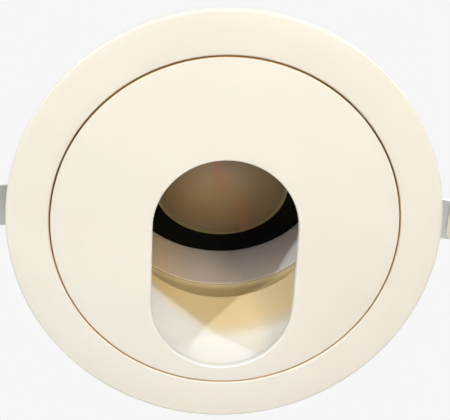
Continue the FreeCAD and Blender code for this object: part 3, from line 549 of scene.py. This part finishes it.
ring = piece(trim(), cream, "trim", ["trim_ring"])
# Painted shade on the wall of the seam
faces_as(ring, seam_painted_shade, in_ring_seam)
for side in (1, -1):
    piece(ear_pair(side), cream, "trim")
piece(glide_ring(), nylon_white, "trim", ["glide_ring"])


# Face disc with its slot

DISC_WALL_TOP = 6.8     # top of the disc's outer wall
SLOT_HALF = 18.5        # half of the slot's width
SLOT_FAR = 21.1         # from the disc's middle to the centre of the slot's far end


def stadium(grow, level, steps=64):
    """Loop of the slot, widened all round by grow."""
    half = SLOT_HALF + grow
    loop = []
    for k in range(steps + 1):
        a = pi + pi * k / steps
        loop.append((half * cos(a), half * sin(a), level))
    for k in range(steps + 1):
        a = pi * k / steps
        loop.append((half * cos(a), SLOT_FAR + half * sin(a), level))
    return loop


def face():
    """Turned disc with its screw bosses, cut through by the slot, whose front edge is rounded."""
    outer, wall_in, rim_out, rim_in, rim_top = 43.9, 41.9, 42.4, 40.4, 9.05
    disc = lathe_mesh("disc", [
        (0, FRONT), (outer, FRONT, 0.22), (outer, DISC_WALL_TOP, 0.1), (rim_out, DISC_WALL_TOP),
        (rim_out, rim_top, 0.1), (rim_in, rim_top), (rim_in, 6.5), (wall_in, 5.0), (wall_in, 0.0), (0, 0.0),
    ])
    # How far the slot is widened, and at what height, from its front edge through the disc
    edge = ((0.55, -2.30), (0.25, -2.0), (0.08, -1.86), (0.0, -1.66), (0.0, 0.7))
    cutter = loft_mesh("slot", [stadium(grow, level) for grow, level in edge])
    boss_reach, boss_radius, boss_foot, boss_top = 40.45, 1.9, 5.55, 9.04
    bosses = []
    for i in range(4):
        boss = lathe_mesh("boss", [
            (0, boss_foot), (boss_radius, boss_foot, 0.2), (boss_radius, boss_top), (0, boss_top),
        ], 32)
        a = pi / 4 + i * pi / 2
        boss.transform(Matrix.Translation((boss_reach * cos(a), boss_reach * sin(a), 0)))
        bosses.append(boss)
    mesh = combined("face", disc, bosses, "UNION")
    return finished("face_disc_shell", combined("face", mesh, [cutter], "DIFFERENCE"), 25)


def in_disc_seam(at, way):
    """Outer wall of the face disc."""
    skin = 43.75
    return abs(way.z) < UPRIGHT and hypot(at.x, at.y) > skin and at.z < DISC_WALL_TOP


def on_slot_edge(at, way):
    """Rounded front edge of the slot, but for the near end's arc."""
    low, high, near_end, reach = -1.99, -1.4, -3, 41
    return low < at.z < high and at.y > near_end and hypot(at.x, at.y) < reach


disc = piece(face(), cream, "rotor", ["face_disc"])
# Painted shade on the wall of the seam
faces_as(disc, seam_painted_shade, in_disc_seam)
# Painted highlight on the slot's front edge
faces_as(disc, slot_edge_highlight, on_slot_edge)


# Cone baffle

def cone():
    """Funnel that goes over into a ball about the tilt axis, with a notch and a slot for the lamp's lugs."""
    mouth, mouth_out, throat, throat_height = 40.3, 41.7, 29.2, 18.95
    step, step_low, step_high = 38.4, 7.85, 9.05
    ball_in, ball_out, ball_foot, top = 31.984, 33.234, 18.98, 32.8
    lip_in, lip_out = 31.974, 33.224
    lug_hole, lug_slot = 5.42, 7.87
    golden_below = 0.0326   # in metres
    slope = (mouth - throat) / throat_height

    def outside(z):
        """Radius of the funnel's outside at a height."""
        return mouth_out - slope * z

    def ball(radius, low, high, count=14):
        """Points along the side of a ball about the tilt pivot, without the ends."""
        heights = [low + (high - low) * i / count for i in range(1, count)]
        return [(sqrt(radius ** 2 - (z - PIVOT) ** 2), z) for z in heights]
    foot = [
        (mouth, 0.0, 0.3), (mouth_out, 0.0), (outside(step_low), step_low), (step, step_low, 0.2),
        (step, step_high), (outside(step_high), step_high), (outside(ball_foot), ball_foot),
    ]
    lip = [(lip_out, top, 0.3), (lip_in, top, 0.3)]
    body = lathe_mesh("cone", foot + ball(ball_out, ball_foot, top) + lip
                      + ball(ball_in, top, throat_height) + [(throat, throat_height, 0.6)])
    notch = lathe_mesh("notch", [(0, -40), (lug_hole, -40), (lug_hole, 40), (0, 40)], 96)
    notch.transform(Matrix.Translation((0, 0, PIVOT)) @ Matrix.Rotation(pi / 2, 4, "Y"))
    above = prism_mesh("top", [
        (-lug_slot, PIVOT), (lug_slot, PIVOT), (lug_slot, 34.0), (-lug_slot, 34.0),
    ], -36.0, 36.0, "yz")
    obj = finished("cone_baffle_shell", combined("cone", body, [notch, above], "DIFFERENCE"))
    obj.data.materials.clear()
    obj.data.materials.append(cream)
    obj.data.materials.append(cone_inside_painted_shade)
    # Inward faces below golden_below take the coat with painted shade
    for face in obj.data.polygons:
        inward = face.normal.x * face.center.x + face.normal.y * face.center.y < 0
        face.material_index = 1 if inward and face.center.z < golden_below else 0
    return obj


piece(cone(), None, "rotor", ["cone_baffle"])


# Lamp head, in its own frame with the pivot at zero and its back along +Z

CUP_FRONT = -1.2        # front of the lamp cup, where the bezel sits
LENS_OPEN = 19.1        # radius of the lens that the bezel leaves open
TUBE_IN = 27.5          # bore of the tube
TUBE_SKIN = 27.85       # beyond this radius a face of the tube is on its outside
RIM_END = -13           # where the painted shade on the outside of the tube's front end stops


def tube_shell():
    """Plain turned tube."""
    return lathe("polished_tube_smooth", [
        (TUBE_IN, TUBE_FRONT, 0.3), (TUBE_OUT, TUBE_FRONT, 0.3), (TUBE_OUT, 0.0, 0.1), (TUBE_IN, 0.0, 0.1),
    ])


def on_tube_rim(at, way):
    """Outside of the tube at its front edge."""
    return hypot(at.x, at.y) > TUBE_SKIN and at.z < RIM_END


def on_tube_outside(at, way):
    """Rest of the tube's outside."""
    return hypot(at.x, at.y) > TUBE_SKIN and at.z >= RIM_END


def cup():
    """Black lamp cup with its two trunnion lugs."""
    spigot, neck, neck_top = 27.4, 25.0, 14.0
    seat, seat_depth, bore, roof, cable_hole = 22.6, 1.2, 21.2, 11.0, 2.0
    body = lathe_mesh("cup", [
        (seat, CUP_FRONT, 0.1), (spigot, CUP_FRONT, 0.25), (spigot, 0.0), (TUBE_OUT, 0.0, 0.15),
        (TUBE_OUT, 3.0, 0.5), (neck, 6.2, 1.0), (neck, neck_top, 0.6), (cable_hole, neck_top),
        (cable_hole, roof), (bore, roof), (bore, seat_depth), (seat, seat_depth),
    ])
    half, lug_top = 4.6, 5.5
    root_start, root_end, lug_start, lug_end = 24.0, 28.7, 28.6, 34.6
    outline = [(-half, 0.0), (-half, lug_top, 0.8), (half, lug_top, 0.8), (half, 0.0)]
    arc = [(half * cos(a), half * sin(a)) for a in [-pi * k / 24 for k in range(1, 24)]]
    lugs = []
    for side in (1, -1):
        block = prism_mesh("block", outline + arc, lug_start, lug_end, "yz")
        root = prism_mesh("root", outline, root_start, root_end, "yz")
        lug = combined("lug", block, [root], "UNION")
        if side < 0:
            lug.transform(Matrix.Rotation(pi, 4, "Z"))
        lugs.append(lug)
    return softened(finished("lamp_cup_shell", combined("cup", body, lugs, "UNION")))


def bezel():
    """Flat black ring in front of the lens, with a skirt that centres it in the cup."""
    outer, front, back = 25.0, -2.4, -1.6
    skirt_out, skirt_in, skirt_end = 22.5, 21.5, 0.3
    return lathe("front_bezel_ring", [
        (LENS_OPEN, front, 0.35), (outer, front, 0.5), (outer, CUP_FRONT), (skirt_out, CUP_FRONT),
        (skirt_out, skirt_end, 0.2), (skirt_in, skirt_end, 0.2), (skirt_in, back), (LENS_OPEN, back, 0.1),
    ])


def lens():
    """Lens with a faintly crowned front."""
    edge, crown, front, back = 21.4, 0.5, -2.1, 0.4
    radii = (0, 3, 6, 9, 12, 15, 17, 19, 20.2, edge)
    crowned = [(r, front + crown * (r / LENS_OPEN) ** 2) for r in radii]
    return lathe("lens_disc", crowned + [(edge, back, 0.2), (0, back)])


tube = piece(tube_shell(), tube_painted_reflection, "head", ["polished_tube"], HEAD)
# Painted shade on the outside of the tube's front end
faces_as(tube, tube_rim_painted_shade, on_tube_rim)
faces_as(tube, tube_back, on_tube_outside)
piece(cup(), black_coat, "head", ["lamp_cup"], HEAD)
piece(bezel(), black_coat, "head", ["front_bezel"], HEAD)
piece(lens(), lens_glass, "head", ["lens"], HEAD)


# Materials of the CAD nodes that show as they are

cad_materials = [
    (zinc, ["turntable_ring", "yoke_arm_left", "yoke_arm_right"]),
    (turned_steel, ["stop_pin", "clip_pin_left", "clip_pin_right", "turntable_screws", "yoke_screws",
                    "pivot_screw_left", "pivot_screw_right", "spring_washers", "led_screws",
                    "heat_sink_screws"]),
    (nylon_white, ["friction_washers", "led_holder"]),
    (bowl_bright, ["reflector_bowl"]),
    (board_white, ["led_board"]),
    (phosphor, ["led_chip"]),
    (pad_grey, ["thermal_pad"]),
    (anodised, ["heat_sink"]),
    (nylon_black, ["cable_gland", "gland_cap"]),
    (rubber, ["gland_seal"]),
    (strip_steel, ["clip_arm_left", "clip_arm_right"]),
    (sleeve, ["clip_pad_left", "clip_pad_right"]),
    (wire_steel, ["clip_spring_left", "clip_spring_right"]),
]
for mat, names in cad_materials:
    for name in names:
        paint(frame["nodes"][name], mat)


# Floor and world: pale where the camera or a reflection sees them, dimmer in the light that they give

FLOOR_LEVEL, FLOOR_HALF = -0.42, 3.0
FLOOR_BOUNCE, FLOOR_SEEN = (0.30, 0.295, 0.29, 1), (0.86, 0.85, 0.83, 1)
WORLD_LIGHT, WORLD_SEEN = (0.54, 0.54, 0.54, 1), (0.93, 0.93, 0.93, 1)


def seen_by(tree, *kinds):
    """1 for the named kinds of ray of Light Path and 0 for the rest."""
    path = tree.nodes.new("ShaderNodeLightPath")
    share = path.outputs[kinds[0]]
    for kind in kinds[1:]:
        share = math_node(tree, "MAXIMUM", share, path.outputs[kind])
    return share


def floor():
    """Plain pale floor under the light."""
    bm = bmesh.new()
    bmesh.ops.create_grid(bm, x_segments=8, y_segments=8, size=FLOOR_HALF)
    mesh = bpy.data.meshes.new("floor")
    bm.to_mesh(mesh)
    bm.free()
    mesh.transform(Matrix.Translation((0, 0, FLOOR_LEVEL)))
    obj = bpy.data.objects.new("floor", mesh)
    bpy.context.scene.collection.objects.link(obj)
    mat, tree, shader = new_material("floor_pale")
    shader.inputs["Roughness"].default_value = 0.9
    shader.inputs["Specular IOR Level"].default_value = 0.1
    seen = seen_by(tree, "Is Camera Ray", "Is Glossy Ray")
    tree.links.new(mixed(tree, seen, FLOOR_BOUNCE, FLOOR_SEEN), shader.inputs["Base Color"])
    obj.data.materials.append(mat)


def studio():
    """World of an even grey light, seen as a pale backdrop."""
    world = bpy.data.worlds.new("studio")
    bpy.context.scene.world = world
    world.use_nodes = True
    tree = world.node_tree
    back = tree.nodes["Background"]
    seen = seen_by(tree, "Is Camera Ray", "Is Glossy Ray", "Is Transmission Ray")
    tree.links.new(mixed(tree, seen, WORLD_LIGHT, WORLD_SEEN), back.inputs["Color"])
    back.inputs["Strength"].default_value = 1.0


floor()
studio()


# Lamps, in metres, watts and degrees: the first three are narrow and throw the patches in the funnel

lamps = [
    # name, place, target, size, power, colour, spread
    ("key_left", (-0.2435, -0.819, -0.172), (0, 0.03, 0), 0.030, 0.088, (0.70, 0.76, 0.98), 50),
    ("key_right", (0.547, -0.622, -0.293), (0, 0.03, 0), 0.030, 0.200, (0.55, 0.70, 1.0), 50),
    ("side", (-0.415, -0.223, -0.333), (0.005, 0.02, 0.02), 0.024, 0.079, (0.90, 0.97, 1.0), 50),
    ("warm", (0.17, -0.14, -0.38), (0, 0.02, 0.02), 0.11, 0.49, (1.0, 0.81, 0.57), 180),
    ("front", (-0.06, -0.14, -0.39), (0, 0.02, 0.02), 0.12, 0.135, (1.0, 0.84, 0.90), 180),
    ("low", (0.0, 0.34, -0.37), (0, 0, 0), 0.30, 0.54, (0.86, 0.90, 0.98), 180),
    ("fill", (0.05, -0.40, -0.36), (0, 0.02, 0), 0.40, 1.00, (0.93, 0.98, 0.73), 180),
    ("top_soft", (0.5, -0.5, 0.9), (0, 0, 0.03), 0.6, 2.4, (1, 0.98, 0.95), 180),
]


def lamp(name, place, target, size, power, colour, spread):
    """Round area lamp turned to a target, itself out of the camera's sight."""
    light = bpy.data.lights.new(name, "AREA")
    light.shape = "DISK"
    light.size = size
    light.energy = power
    light.color = colour
    light.spread = radians(spread)
    obj = bpy.data.objects.new(name, light)
    bpy.context.scene.collection.objects.link(obj)
    obj.location = place
    way = Vector(target) - Vector(place)
    obj.rotation_euler = way.to_track_quat("-Z", "Y").to_euler()
    obj.visible_camera = False


for row in lamps:
    lamp(*row)


def camera():
    """Camera fitted to the photograph: turns about X, Y and Z, and a shift in outer radii of the flange."""
    turn_x, turn_y, turn_z = radians(21.25), radians(-2.49), radians(1.89)
    shift, outer_radius = Vector((0.005, 0.096, 3.935)), 0.055
    focal_pixels, photo_width, sensor = 860, 450, 36
    about_x = Matrix(((1, 0, 0), (0, cos(turn_x), -sin(turn_x)), (0, sin(turn_x), cos(turn_x))))
    about_y = Matrix(((cos(turn_y), 0, sin(turn_y)), (0, 1, 0), (-sin(turn_y), 0, cos(turn_y))))
    about_z = Matrix(((cos(turn_z), -sin(turn_z), 0), (sin(turn_z), cos(turn_z), 0), (0, 0, 1)))
    view = about_y @ about_x
    place = about_z.transposed() @ -(view.transposed() @ (shift * outer_radius))
    view = view @ about_z
    data = bpy.data.cameras.new("camera")
    data.sensor_width = sensor
    data.sensor_fit = "HORIZONTAL"
    data.lens = focal_pixels / photo_width * sensor
    data.clip_start = 0.01
    obj = bpy.data.objects.new("camera", data)
    bpy.context.scene.collection.objects.link(obj)
    axes = Matrix((view[0], -view[1], -view[2])).transposed()
    obj.matrix_world = Matrix.Translation(place + Vector((0, 0, FRONT * MM))) @ axes.to_4x4()
    bpy.context.scene.camera = obj


camera()
bpy.context.scene.view_settings.view_transform = "Standard"
